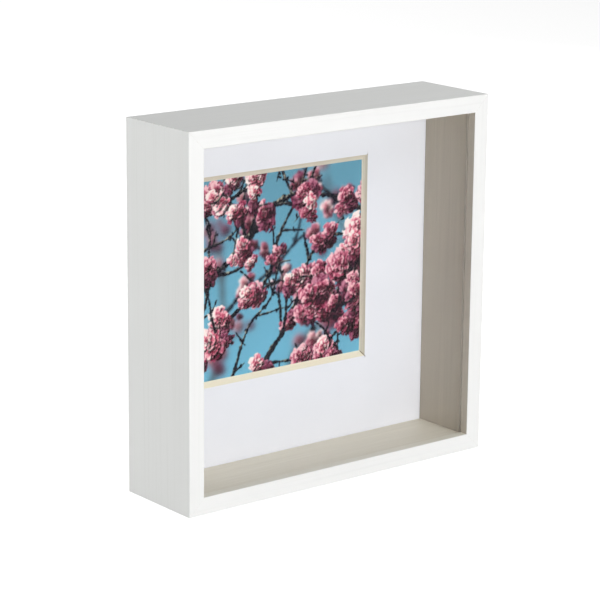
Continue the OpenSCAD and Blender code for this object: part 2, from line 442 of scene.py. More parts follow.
def carved(mesh, cutter_meshes, materials):
    """The mesh with the cutters taken away from it."""
    block = add_object("carving", mesh)
    for material in materials:
        mesh.materials.append(material)
    cutters = []
    for cutter_mesh in cutter_meshes:
        for material in materials:
            cutter_mesh.materials.append(material)
        slot = cutter_mesh.get("cut_slot", CUT_SLOT)
        cutter_mesh.polygons.foreach_set("material_index", [slot] * len(cutter_mesh.polygons))
        cutter = add_object("cutter", cutter_mesh)
        cutters.append(cutter)
        cut = block.modifiers.new("cut", "BOOLEAN")
        cut.operation = "DIFFERENCE"
        cut.solver = "EXACT"
        cut.object = cutter
    shown = block.evaluated_get(bpy.context.evaluated_depsgraph_get())
    result = bpy.data.meshes.new_from_object(shown)
    for made in [block, *cutters]:
        bpy.data.objects.remove(made)
    return result


def lofted(rings, closed=False):
    """Verts and faces of a skin over rings of points; the ends are capped unless it is closed."""
    count = len(rings[0])
    verts = [point for ring in rings for point in ring]
    faces = []
    spans = len(rings) if closed else len(rings) - 1
    for n in range(spans):
        here, there = n * count, (n + 1) % len(rings) * count
        for k in range(count):
            after = (k + 1) % count
            faces.append((here + k, here + after, there + after, there + k))
    if not closed:
        faces.append(tuple(range(count)))
        faces.append(tuple(range(len(verts) - count, len(verts))))
    return verts, faces


# -------------------- rails

JOINT_GAP = 0.015 * MM  # each rail's end stands back from the mitre by this
SLOT_GAP = 0.05 * MM  # room round the nails and tab feet
NAIL_SINK = 0.2 * MM  # a nail that ends this near the rear face has its slot open there
ARC_STEPS = 5
FOILED, RAW, LIP = 0, 1, 2  # a rail's material slots


def rail_outline():
    """The L section from the front outer arris round the back: (y, z, slot of the side after it)."""
    corners = [  # y, z, radius of its arris, slot of the arris, slot of the side after it
        (FRONT_Y, 0.0, 0.4 * MM, FOILED, FOILED),
        (REAR_Y, 0.0, 0.5 * MM, FOILED, RAW),
        (REAR_Y, WALL_T, 0.3 * MM, RAW, LIP),
        (LIP_BACK_Y, WALL_T, 0.0, RAW, RAW),
        (LIP_BACK_Y, LIP_W, 0.25 * MM, LIP, LIP),
        (FRONT_Y, LIP_W, 0.4 * MM, FOILED, FOILED),
    ]
    outline = []
    for n, (y, z, radius, arris_slot, side_slot) in enumerate(corners):
        here = np.array([y, z])
        if radius == 0.0:
            outline.append((y, z, side_slot))
            continue
        before = np.array(corners[n - 1][:2]) - here
        after = np.array(corners[(n + 1) % len(corners)][:2]) - here
        before = before / np.linalg.norm(before)
        after = after / np.linalg.norm(after)
        centre = here + (before + after) * radius
        for step in range(ARC_STEPS + 1):
            turn = math.pi / 2 * step / ARC_STEPS
            spot = centre - after * radius * math.cos(turn) - before * radius * math.sin(turn)
            outline.append((spot[0], spot[1], side_slot if step == ARC_STEPS else arris_slot))
    return outline


def slot_cutters():
    """The nails and the tabs' feet, all a little larger than they are, as two cutters."""
    cutters = []
    for node in ("corner_v_nails", "tab_anchors"):
        work = bmesh.new()
        work.from_mesh(frame["nodes"][node].data)
        bmesh.ops.remove_doubles(work, verts=work.verts, dist=0.001 * MM)
        bmesh.ops.recalc_face_normals(work, faces=work.faces)
        for vert in work.verts:
            vert.co += vert.normal * SLOT_GAP
            if vert.co.y > REAR_Y - NAIL_SINK:
                vert.co.y = REAR_Y + NAIL_SINK
        mesh = bpy.data.meshes.new("cutter")
        work.to_mesh(mesh)
        work.free()
        cutters.append(mesh)
    return cutters


def make_rails():
    outline = rail_outline()
    raw = raw_board()
    finishes = {
        axis: [
            foil("white_foil", axis, WHITE_FOIL, WHITE_FOIL_STREAK),
            raw,
            # the lip's inner face on the side rails takes darker tones: painted shade
            foil("lip_foil_lit_and_shaded", axis, *LIP_LIT_AND_SHADED_TONES[axis]),
        ]
        for axis in "XZ"
    }
    for side in SIDES:
        ends = []
        for sign in (-1, 1):
            ends.append([(sign * (SIZE / 2 - z - JOINT_GAP), y, z) for y, z, _ in outline])
        verts, faces = lofted(ends)
        slots = [slot for _, _, slot in outline] + [RAW, RAW]
        node = "rail_" + side
        mesh = mesh_from(node, verts, faces, slots)
        mesh.transform(turned(side))
        materials = finishes[AXIS_OF[side]]
        mesh = carved(mesh, slot_cutters(), materials)
        shade(mesh)
        name = "rail_piece_" + side
        add_piece(name, mesh, materials, stands_for=[node], flat=True)


# -------------------- glass, spacers and back panel

GLASS_ARRIS = 0.25 * MM
SPACER_ARRIS = 0.45 * MM
PANEL_ARRIS = 0.4 * MM


def make_glass():
    mesh = rounded_bar("glass", glass_low, glass_high, GLASS_ARRIS)
    finishes = [clear_glass()]
    add_piece("glass_sheet", mesh, finishes, stands_for=["glass_pane"], flat=True)


def make_spacers():
    woods = {axis: spacer_wood_lit_and_shaded(axis) for axis in "XZ"}
    painted_highlight = {axis: spacer_wood_lit_and_shaded(axis, painted_highlight=True) for axis in "XZ"}
    for side in SIDES:
        node = "spacer_" + side
        low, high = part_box(node)
        mesh = rounded_bar("spacer", low, high, SPACER_ARRIS)
        # the front arris faces take the paler copy, a painted highlight
        for polygon in mesh.polygons:
            gets_painted_highlight = -0.97 < polygon.normal.y < -0.2
            polygon.material_index = int(gets_painted_highlight)
        materials = [woods[AXIS_OF[side]], painted_highlight[AXIS_OF[side]]]
        name = "spacer_strip_" + side
        add_piece(name, mesh, materials, stands_for=[node], flat=True)


def make_back_panel():
    mesh = rounded_bar("panel", panel_low, panel_high, PANEL_ARRIS)
    finishes = [hardboard()]
    add_piece("back_board", mesh, finishes, stands_for=["back_panel"], flat=True)


# -------------------- mat

MAT_ARRIS = 0.12 * MM
PAPER, CORE, CORE_TOP_SHADED, CORE_SIDE_SHADED, CORE_SLIT_SHADOW = range(5)  # the mat's material slots
OVERCUTS = {  # (right, top) of a window corner: how far the knife ran past it, across and up, in mm
    (1, 1): (0.6, 1.9),
    (1, -1): (0.9, 1.4),
    (-1, -1): (1.2, 0.7),
    (-1, 1): (1.5, 1.0),
}


def mat_window(y):
    """The window's lower left and upper right corners, at one face of the mat."""
    points = [v.co for v in frame["nodes"]["mat_board"].data.vertices]
    level = [p for p in points if abs(p.y - y) < 0.01 * MM]
    inside = [p for p in level if mat_low.x + MM < p.x < mat_high.x - MM]
    return (
        Vector((min(p.x for p in inside), 0, min(p.z for p in inside))),
        Vector((max(p.x for p in inside), 0, max(p.z for p in inside))),
    )


def rectangle(low, high, grow, y):
    """The corners of a rectangle in the mat's plane, grown by that much, at depth y."""
    return [
        (low.x - grow, y, low.z - grow),
        (high.x + grow, y, low.z - grow),
        (high.x + grow, y, high.z + grow),
        (low.x - grow, y, high.z + grow),
    ]


def shaded_slit(verts):
    """A cutter between two quads of points, whose walls take dark brown tones: painted shadow in the
    cut.
    """
    faces = [(0, 1, 2, 3), (4, 5, 6, 7), (0, 1, 5, 4), (1, 2, 6, 5), (2, 3, 7, 6), (3, 0, 4, 7)]
    mesh = mesh_from("cutter", verts, faces)
    mesh["cut_slot"] = CORE_SLIT_SHADOW
    return mesh


def overcut(corner, along, reach):
    """A knife's run past a window corner: a thin slit into the mat's face, narrower at its tip, its
    walls dark with painted shadow.
    """
    half, depth, proud, point = 0.13 * MM, 0.45 * MM, 0.2 * MM, 0.15
    across = Vector((-along.z, 0, along.x))
    start = corner - along * 0.3 * MM
    tip = corner + along * reach
    verts = []
    for y in (mat_low.y - proud, mat_low.y + depth):
        for spot, side in ((start, -1), (start, 1), (tip, point), (tip, -point)):
            place = spot + across * half * side
            verts.append((place.x, y, place.z))
    return shaded_slit(verts)


def slipped_cut(front, back):
    """A narrow groove that a blade left along a mitre of the bevel, its walls dark with painted
    shadow.
    """
    half, depth, point = 0.2 * MM, 1.2 * MM, 0.3
    proud = -0.3 * depth
    way = (back - front).normalized()
    into = Vector((-way.x, 0, -way.z)).normalized()
    across = way.cross(into).normalized()
    verts = []
    for end in (front - way * 0.2 * MM, back - way * 0.5 * MM):
        for side, reach in ((-1, proud), (1, proud), (point, depth), (-point, depth)):
            verts.append(end + across * half * side + into * reach)
    return shaded_slit(verts)


def make_mat():
    low, high = mat_window(mat_low.y)
    back_low, back_high = mat_window(mat_high.y)
    start = MAT_ARRIS / (mat_high.y - mat_low.y)
    bevel_low, bevel_high = low.lerp(back_low, start), high.lerp(back_high, start)
    rings = [
        rectangle(mat_low, mat_high, 0.0, mat_high.y),
        rectangle(mat_low, mat_high, 0.0, mat_low.y + MAT_ARRIS),
        rectangle(mat_low, mat_high, -MAT_ARRIS, mat_low.y),
        rectangle(low, high, MAT_ARRIS, mat_low.y),
        rectangle(low, high, 0.2 * MAT_ARRIS, mat_low.y + 0.25 * MAT_ARRIS),
        rectangle(bevel_low, bevel_high, 0.0, mat_low.y + MAT_ARRIS),
        rectangle(back_low, back_high, 0.0, mat_high.y),
    ]
    verts, faces = lofted(rings, closed=True)
    # the right, top and left bevels take darker copies of the core: painted shade
    bevel = [CORE, CORE_SIDE_SHADED, CORE_TOP_SHADED, CORE_SIDE_SHADED]  # along the bottom, right, top and left
    slots = [CORE] * 4 + [PAPER] * 12 + bevel * 2 + [PAPER] * 4
    mesh = mesh_from("mat", verts, faces, slots)
    cuts = []
    for (right, top), (across, up) in OVERCUTS.items():
        corner = Vector((high.x if right > 0 else low.x, 0, high.z if top > 0 else low.z))
        cuts.append(overcut(corner, Vector((right, 0, 0)), across * MM))
        cuts.append(overcut(corner, Vector((0, 0, top)), up * MM))
    lower_right = Vector((high.x, mat_low.y, low.z))
    cuts.append(slipped_cut(lower_right, Vector((back_high.x, mat_high.y, back_low.z))))
    finishes = [mat_face(), *(mat_core_shaded_by_side(part) for part in ("bottom", "top", "side", "shaded_slit"))]
    mesh = carved(mesh, cuts, finishes)
    shade(mesh)
    add_piece("mat_sheet", mesh, finishes, stands_for=["mat_board"], flat=True)


# -------------------- the print's picture

CELLS = 304  # squares across the picture
SIDE = (print_high.x - print_low.x) / MM
PICTURE_SEED = 12
# each bough's start, heading in degrees, length and, for near ones, width; in mm on the print
FAR_BOUGHS = [((10, 0), 62, 120), ((127, 34), 128, 90), ((70, 0), 84, 120)]
MID_BOUGHS = [((0, 22), 34, 110), ((86, 0), 96, 70), ((127, 92), 168, 60), ((40, 127), 250, 50)]
NEAR_BOUGHS = [
    ((-4, 60), 34, 150, 4.6),
    ((40, -4), 46, 120, 4.0),
    ((-4, 2), 66, 110, 3.2),
    ((0, 112), 4, 50, 3.0),
    ((131, 66), 205, 40, 2.6),
    ((92, -4), 78, 60, 3.0),
    ((131, 30), 150, 50, 2.8),
]
BARE_TWIGS = [
    ((-4, 34), 52, 84, 2.4),
    ((22, -4), 64, 96, 2.2),
    ((-4, 78), 30, 60, 2.0),
    ((58, -4), 50, 80, 2.2),
    ((44, 50), 44, 84, 2.6),
    ((20, 131), 300, 50, 2.0),
    ((60, 131), 285, 46, 1.8),
    ((131, 14), 158, 60, 1.8),
    ((104, -4), 62, 44, 1.8),
]
SKY_LOW = (112, 180, 208)
SKY_HIGH = (102, 158, 182)
BARK = (14, 13, 24)
BARK_LIT = (178, 170, 146)
BARK_FAR = (74, 84, 92)
BARK_FAR_LIT = (118, 146, 158)
PETAL_TONES = {  # from the folds to the sunlit rims
    "dusk": ((44, 14, 32), (104, 40, 66), (152, 76, 104), (198, 128, 150)),
    "rose": ((70, 16, 36), (152, 54, 84), (204, 106, 132), (246, 200, 206)),
    "sun": ((104, 22, 48), (198, 74, 104), (238, 148, 166), (255, 238, 234)),
}
STAMEN = (250, 214, 176)
BOUGH_STEP = 3.0  # mm


def srgb(colour):
    return np.array(colour, float) / 255


def smooth(x, low, high):
    t = np.clip((x - low) / (high - low), 0, 1)
    return t * t * (3 - 2 * t)


def blur(picture, radius):
    """Soft focus: a Gaussian of that radius, in cells."""
    reach = int(3 * radius) + 1
    kernel = np.exp(-0.5 * (np.arange(-reach, reach + 1) / radius) ** 2)
    kernel /= kernel.sum()
    for axis in (0, 1):
        wide = [(0, 0)] * picture.ndim
        wide[axis] = (reach, reach)
        padded = np.pad(picture, wide, mode="edge")
        picture = sum(
            weight * np.take(padded, range(n, n + picture.shape[axis]), axis=axis)
            for n, weight in enumerate(kernel)
        )
    return picture


def value_noise(rng, count, cell):
    """A square of smooth noise from -1 to 1 with blobs about `cell` cells wide."""
    coarse = rng.uniform(-1, 1, (int(count / cell) + 3, int(count / cell) + 3))
    steps = np.arange(count) / cell
    whole = steps.astype(int)
    part = smooth(steps - whole, 0, 1)
    rows = coarse[whole] * (1 - part)[:, None] + coarse[whole + 1] * part[:, None]
    return rows[:, whole] * (1 - part) + rows[:, whole + 1] * part


class Canvas:
    """A picture on a square grid, painted from back to front; places are mm from its lower left."""

    LAYERS = 5  # rosettes of petals in one blossom

    def __init__(self, seed):
        count = CELLS + 1
        steps = np.linspace(0, SIDE, count)
        self.rng = np.random.default_rng(seed)
        self.cell = SIDE / CELLS
        self.x, self.z = np.meshgrid(steps, steps)
        self.fine = value_noise(self.rng, count, 3) + 0.5 * value_noise(self.rng, count, 1.6)
        self.soft = value_noise(self.rng, count, 8)
        self.sun = value_noise(self.rng, count, 44)
        up = (self.z / SIDE)[..., None]
        self.rgb = srgb(SKY_LOW) * (1 - up) + srgb(SKY_HIGH) * up
        self.rgb *= 1 + 0.03 * self.sun[..., None]
        self.solid = np.zeros((count, count))

    def window(self, x, z, reach):
        """The part of the grid within reach of a place."""
        spans = []
        for middle in (z, x):
            first = max(int((middle - reach) / self.cell), 0)
            last = min(int((middle + reach) / self.cell) + 2, CELLS + 1)
            if first >= last:
                return None
            spans.append(slice(first, last))
        return tuple(spans)

    def cover(self, at, colour, share):
        share = np.clip(share, 0, 1)
        self.solid[at] = np.maximum(self.solid[at], share)
        self.rgb[at] = self.rgb[at] * (1 - share[..., None]) + colour * share[..., None]

    def sunlight(self, x, z):
        row = min(max(int(z / self.cell), 0), CELLS)
        column = min(max(int(x / self.cell), 0), CELLS)
        return self.sun[row, column]

    def wood(self, points, start, end, dark, lit):
        """A knotty stem, start to end thick, with light caught along its upper edge."""
        dark, lit = srgb(dark), srgb(lit)
        spans = len(points) - 1
        for n, (a, b) in enumerate(zip(points[:-1], points[1:])):
            steps = max(int(np.hypot(*(b - a)) / (0.3 * max(start, end))), 2)
            for k in range(steps):
                far = (n + k / steps) / spans
                spot = a + (b - a) * k / steps
                thick = (start + (end - start) * far) * (1 + 0.24 * self.rng.normal())
                half = max(thick, 0.5) / 2
                at = self.window(*spot, half + 1.2)
                if at is None:
                    continue
                dx, dz = self.x[at] - spot[0], self.z[at] - spot[1]
                off = np.hypot(dx, dz) + 0.22 * self.fine[at]
                rim = (0.8 * dz - 0.6 * dx) / half + 0.7 * self.fine[at]
                glow = smooth(rim, 0.1, 0.85) * smooth(self.soft[at], -0.5, 0.4)
                glow = glow[..., None]
                self.cover(at, dark * (1 - glow) + lit * glow, smooth(half + 0.2 - off, 0, 0.4))

    def spurs(self, points, count, dark):
        """Short stubs and buds that stand off a stem."""
        for _ in range(count):
            n = self.rng.integers(0, len(points) - 1)
            turn = self.rng.uniform(0, 2 * math.pi)
            reach = self.rng.uniform(1.2, 3.2)
            tip = points[n] + reach * np.array([math.cos(turn), math.sin(turn)])
            self.wood([points[n], tip], 1.1, 0.7, dark, dark)

    def petals(self, x, z, r, tone, light):
        """One ruffled double blossom: rosettes of petals, each throwing shade on the last."""
        rng = self.rng
        at = self.window(x, z, 1.4 * r)
        if at is None:
            return
        tones = [srgb(t) for t in PETAL_TONES[tone]]
        turn, squash = rng.uniform(0, math.pi), rng.uniform(0.66, 1.0)
        dx, dz = self.x[at] - x, self.z[at] - z
        slope = (0.5 * dz - 0.5 * dx) / r
        tilt = r * rng.uniform(-0.16, 0.16, 2)
        for layer in range(self.LAYERS):
            reach = r * (1 - 0.19 * layer)
            count = rng.integers(5, 8)
            phase = rng.uniform(0, 2 * math.pi)
            size = rng.uniform(0.74, 1.1, count)
            lit = rng.uniform(-0.26, 0.26, count)
            sx = dx - tilt[0] * layer / self.LAYERS
            sz = dz - tilt[1] * layer / self.LAYERS

            def outline(px, pz):
                u = px * math.cos(turn) + pz * math.sin(turn)
                v = (pz * math.cos(turn) - px * math.sin(turn)) / squash
                rho = np.hypot(u, v)
                theta = np.arctan2(v, u) + 0.30 * self.soft[at] + 0.10 * self.fine[at]
                place = (theta + phase) * count / (2 * math.pi)
                which = np.floor(place).astype(int) % count
                across = np.abs(place - np.floor(place) - 0.5) * 2
                edge = reach * size[which] * (1 - 0.36 * across**3)
                ruffle = 0.045 * r * np.sin(9 * place + 3 * self.soft[at])
                edge = edge + ruffle + 0.05 * r * self.fine[at]
                return rho, which, across, edge

            shift = 0.10 * r  # of the shade that the petals throw, down and to the right
            rho, _, _, edge = outline(sx - shift, sz + shift)
            shaded = smooth(edge - rho, -0.05 * r, 0.12 * r) * self.solid[at]
            self.rgb[at] *= 1 - 0.66 * shaded[..., None]
            rho, which, across, edge = outline(sx, sz)
            along = np.clip(rho / np.maximum(edge, 0.1), 0, 1)
            bright = 0.34 + 0.50 * along**2 + lit[which] + 0.42 * slope + light
            bright = bright - 0.34 * across**5 + 0.20 * self.fine[at]
            bright = bright + 0.10 * np.sin(5 * math.pi * across) * along
            level = np.clip(0.46 + 1.3 * (bright - 0.5), 0, 1) * 3
            colour = np.zeros(level.shape + (3,))
            for n, hue in enumerate(tones):
                colour += np.clip(1 - np.abs(level - n), 0, 1)[..., None] * hue
            self.cover(at, colour, smooth(edge - rho, 0, 0.35))
        heart = np.hypot(sx, sz)
        self.cover(at, tones[0], 0.8 * smooth(0.17 * r - heart, 0, 0.1 * r))
        for _ in range(11):  # stamens
            way, far = rng.uniform(0, 2 * math.pi), rng.uniform(0.10, 0.34) * r
            px, pz = sx - far * math.cos(way), sz - far * math.sin(way)
            self.cover(at, srgb(STAMEN), (0.55 + light) * smooth(0.34 - np.hypot(px, pz), 0, 0.3))

    def cluster(self, x, z, wide, count, r):
        """Blossoms crowded round a place; those nearer the sun lie on top."""
        rng = self.rng
        places = []
        for _ in range(count):
            way, far = rng.uniform(0, 2 * math.pi), wide * math.sqrt(rng.uniform(0, 1))
            places.append((x + far * math.cos(way), z + 0.85 * far * math.sin(way)))
        places.sort(key=lambda p: p[1] - p[0])
        for n, (px, pz) in enumerate(places):
            rise = 0.5 * (n / max(count - 1, 1) - 0.72) + 0.34 * self.sunlight(px, pz)
            tone = "sun" if rise > 0.14 else "rose" if rise > -0.16 else "dusk"
            self.petals(px, pz, r * rng.uniform(0.72, 1.22), tone, 0.45 * rise)

    def bough(self, start, heading, length):
        """Points along a bent bough whose heading drifts as it grows."""
        heading, turn = math.radians(heading), 0.0
        points = [np.array(start, float)]
        for _ in range(max(int(length / BOUGH_STEP), 3)):
            turn = 0.6 * turn + self.rng.normal(0, 0.07)
            heading += turn
            points.append(points[-1] + BOUGH_STEP * np.array([math.cos(heading), math.sin(heading)]))
        return points

    def grow(self, start, heading, length, width, dark, lit, shoots):
        """A bough with side shoots; returns its points and the shoots' tips."""
        stem = self.bough(start, heading, length)
        tips = []
        for n in range(shoots):
            at = stem[int(len(stem) * (n + 0.7) / (shoots + 0.4))]
            side = 1 if n % 2 else -1
            aside = heading + side * self.rng.uniform(30, 65)
            shoot = self.bough(at, aside, length * self.rng.uniform(0.12, 0.28))
            self.wood(shoot, 0.5 * width, 0.28 * width, dark, lit)
            self.spurs(shoot, 3, dark)
            tips.append(shoot[-1])
        self.wood(stem, width, 0.45 * width, dark, lit)
        self.spurs(stem, int(length / 7), dark)
        return stem, tips

    def dress(self, places, wide, count, r):
        """Clusters of blossom near each of the places."""
        for place in places:
            jitter = self.rng.normal(0, 2.0, 2)
            size = self.rng.uniform(0.75, 1.2)
            self.cluster(*(place + jitter), wide * size, max(int(count * size), 2), r * size)


def blossom_picture():
    """Boughs in blossom against the sky: far ones out of focus, near ones sharp."""
    c = Canvas(PICTURE_SEED)
    for start, heading, length in FAR_BOUGHS:
        stem, tips = c.grow(start, heading, length, 3.4, BARK_FAR, BARK_FAR_LIT, 3)
        c.dress([*stem[6::9], *tips], 6.5, 4, 5.0)
    c.rgb, c.solid = blur(c.rgb, 4.2), 0 * c.solid
    for start, heading, length in MID_BOUGHS:
        stem, tips = c.grow(start, heading, length, 2.4, BARK, BARK_FAR, 4)
        c.dress([*stem[5::10], *tips], 5.5, 5, 4.6)
    c.rgb, c.solid = blur(c.rgb, 1.5), 0 * c.solid
    boughs_rng = c.rng
    c.rng = np.random.default_rng(PICTURE_SEED + 1)
    for start, heading, length, width in BARE_TWIGS:
        c.grow(start, heading, length, width, BARK, BARK_LIT, 5)
    c.rng = boughs_rng
    for start, heading, length, width in NEAR_BOUGHS:
        stem, tips = c.grow(start, heading, length, width, BARK, BARK_LIT, 5)
        c.dress([*stem[4::10], *tips[::2]], 7.2, 7, 6.8)
        fork = stem[len(stem) // 3]
        loose, _ = c.grow(fork, heading + 38, 0.4 * length, 0.5 * width, BARK, BARK_LIT, 2)
        c.dress(loose[-1:], 5, 4, 5)
    c.rgb = blur(c.rgb, 0.5)
    grain = c.rng.normal(0, 0.014, c.rgb.shape[:2])[..., None]
    return np.clip(c.rgb + grain, 0, 1)


def make_print():
    """The print as a fine grid whose points carry the picture's colours, with a plain back."""
    picture = blossom_picture()
    inset = 0.02 * MM  # of the inked face
    back_inset = 0.01 * MM
    count = CELLS + 1
    steps = np.linspace(0, 1, count)
    across, up = np.meshgrid(steps, steps)
    x = print_low.x + across * (print_high.x - print_low.x)
    z = print_low.z + up * (print_high.z - print_low.z)
    front = np.stack([x, np.full_like(x, print_low.y + inset), z], axis=-1).reshape(-1, 3)
    rim = (
        list(range(count))
        + [row * count + CELLS for row in range(1, count)]
        + [CELLS * count + k for k in range(CELLS - 1, -1, -1)]
        + [row * count for row in range(CELLS - 1, 0, -1)]
    )
    back = front[rim] + (0, print_high.y - print_low.y - inset - back_inset, 0)
    faces = []
    for row in range(CELLS):
        for column in range(CELLS):
            first = row * count + column
            faces.append((first, first + 1, first + 1 + count, first + count))
    start = len(front)
    for n, here in enumerate(rim):
        after = (n + 1) % len(rim)
        faces.append((here, start + n, start + after, rim[after]))
    faces.append(tuple(range(start, start + len(rim))))
    slots = [0] * (CELLS * CELLS) + [1] * (len(rim) + 1)
    mesh = mesh_from("print", np.vstack([front, back]), faces, slots)
    ink = mesh.color_attributes.new("artwork", "BYTE_COLOR", "POINT")
    colours = np.ones((len(mesh.vertices), 4), np.float32)
    colours[: count * count, :3] = picture.reshape(-1, 3)
    ink.data.foreach_set("color_srgb", colours.ravel())
    finishes = [print_ink(), print_back()]
    add_piece("print_sheet", mesh, finishes, stands_for=["photo_print"])


# -------------------- strip and wire


def strip_section(half, thick, rim):
    """Points round a flat strip's section with eased edges, dense across its faces."""
    across = np.linspace(-half + rim, half - rim, 15)
    upper = [(x, thick / 2) for x in across]
    lower = [(x, -thick / 2) for x in across[::-1]]
    ease = rim * (1 - math.sqrt(0.5))
    right = [(half - ease, thick / 2 - ease), (half, thick / 2 - rim), (half, rim - thick / 2)]
    right += [(half - ease, ease - thick / 2)]
    left = [(-x, -y) for x, y in right]
    return upper + right + lower + left


def quarter(into):
    """The height of a quarter circle, 1 to 0, at a place from 0 to 1 along it."""
    return math.sqrt(max(1 - into * into, 0.0))


def arc(x, z, radius, start, end, steps):
    """Points round a centre, from one angle to another."""
    angles = [start + (end - start) * k / steps for k in range(steps + 1)]
    return [(x + radius * math.cos(angle), z + radius * math.sin(angle)) for angle in angles]


# -------------------- bendable tabs

TAB_TIP_R = 2.0 * MM
RIB_HEIGHT = 0.18 * MM
RIB_HALF = 0.8 * MM
RIB_STOPS = (2.2 * MM, 2.4 * MM)  # the rib's ends, from the tab's root and from its tip


def make_tab(name, side, metal):
    """One tongue: strip steel with a round bend at its root, a stamped rib and a round tip."""
    low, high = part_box(name)
    to_side = turned(side)
    corners = [to_side.inverted() @ Vector(corner) for corner in (low, high)]
    left, right = sorted(corner.x for corner in corners)
    root, tip = sorted(corner.z for corner in corners)
    middle_x, middle_y = (left + right) / 2, (low.y + high.y) / 2
    half = (right - left) / 2
    thick = high.y - low.y
    edge = thick / 2
    tip_start = tip - TAB_TIP_R
    stations = [root + edge * (1 - math.cos(math.radians(a))) for a in (0, 20, 40, 60, 90)]
    stations += list(np.linspace(root + 1.2 * edge, tip_start, 14))
    stations += [tip_start + TAB_TIP_R * math.sin(math.radians(a)) for a in range(9, 90, 9)]
    stations += [tip - 0.02 * MM]
    rings = []
    for z in stations:
        wide = half - TAB_TIP_R + TAB_TIP_R * quarter(max(z - tip_start, 0.0) / TAB_TIP_R)
        rise = quarter(max(root + edge - z, 0.0) / edge)
        fade = min(1.0, (tip - z) / (0.5 * edge) + 0.35)
        t = max(thick * min(rise, fade), 0.06 * MM)
        lengthwise = max(root + RIB_STOPS[0] - z, z - tip + RIB_STOPS[1], 0.0) / RIB_HALF
        ring = []
        for x_part, y_part in strip_section(wide, t, min(0.35 * t, 0.12 * MM)):
            off = x_part / RIB_HALF
            rib = RIB_HEIGHT * math.exp(-((off**2 + lengthwise**2) ** 2))
            ring.append((middle_x + x_part, middle_y + y_part + rib, z))
        rings.append(ring)
    mesh = mesh_from(name, *lofted(rings))
    mesh.transform(to_side)
    shade(mesh, 50)
    add_piece("flex_" + name, mesh, [metal], body=name, stands_for=[name])


# -------------------- hanger

ring_joint = next(joint for joint in frame["joints"] if joint["name"] == "ring_swing")
ring_pivot = Vector(ring_joint["pos_m"])


def make_ring(metal):
    """A D of round wire: its bar lies in the strap's barrel and its bow hangs down."""
    low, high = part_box("hanger_ring")
    wire = (high.y - low.y) / 2
    half = (high.x - low.x) / 2 - wire
    corner = (ring_pivot.z - low.z - wire) - half
    path = arc(half - corner, -corner, corner, math.pi / 2, 0, 10)
    path += arc(0, -corner, half, 0, -math.pi, 48)[1:-1]
    path += arc(corner - half, -corner, corner, math.pi, math.pi / 2, 10)
    path += [(x, 0.0) for x in np.linspace(corner - half, half - corner, 10)[1:-1]]
    rings = []
    for n, (x, z) in enumerate(path):
        ahead, behind = path[(n + 1) % len(path)], path[n - 1]
        way = Vector((ahead[0] - behind[0], 0, ahead[1] - behind[1])).normalized()
        out = Vector((way.z, 0, -way.x))
        centre = ring_pivot + Vector((x, 0, z))
        ring = []
        for k in range(18):
            turn = 2 * math.pi * k / 18
            ring.append(centre + wire * (out * math.cos(turn) + Vector((0, 1, 0)) * math.sin(turn)))
        rings.append(ring)
    mesh = mesh_from("ring", *lofted(rings, closed=True))
    shade(mesh, 60)
    node = "hanger_ring"
    add_piece("hanging_ring", mesh, [metal], body="ring", stands_for=[node])


def make_strap(metal):
    """One strip folded round the ring: two layers with a hairline between them, and a barrel."""
    low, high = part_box("hanger_strap")
    strip, hairline, end_r = 0.8 * MM, 0.02 * MM, 2.5 * MM
    tuck = 0.55  # radians that the barrel goes on past its lowest point
    half = (high.x - low.x) / 2
    thick = strip - hairline
    bend = high.y - ring_pivot.y - thick / 2
    inner = panel_high.y + thick / 2
    outer = inner + strip
    foot = [low.z, low.z + 1.0 * MM, low.z + 2.5 * MM]
    path = [(inner, z) for z in (*foot, ring_pivot.z - 2.0 * MM)]
    path += arc(ring_pivot.y, ring_pivot.z, bend, math.pi, -math.pi / 2 - tuck, 24)
    path += [(outer, z) for z in (path[-1][1] - 1.1 * MM, *reversed(foot))]
    path = eased(path, 0.35 * MM)
    rings = []
    for n, (y, z) in enumerate(path):
        ahead, behind = path[min(n + 1, len(path) - 1)], path[max(n - 1, 0)]
        way = Vector((0, ahead[0] - behind[0], ahead[1] - behind[1])).normalized()
        out = Vector((0, -way.z, way.y))
        wide = half - end_r + end_r * quarter(max(low.z + end_r - z, 0.0) / end_r)
        section = strip_section(wide, thick, 0.14 * MM)
        rings.append([Vector((x_part, y, z)) + out * y_part for x_part, y_part in section])
    mesh = mesh_from("strap", *lofted(rings))
    shade(mesh, 50)
    add_piece("folded_strap", mesh, [metal], stands_for=["hanger_strap"])


def eased(path, spacing):
    """The same route with evenly spaced points."""
    points = np.array(path)
    lengths = np.concatenate([[0], np.cumsum(np.linalg.norm(np.diff(points, axis=0), axis=1))])
    count = max(int(lengths[-1] / spacing), 2)
    at = np.linspace(0, lengths[-1], count)
    return [(np.interp(s, lengths, points[:, 0]), np.interp(s, lengths, points[:, 1])) for s in at]


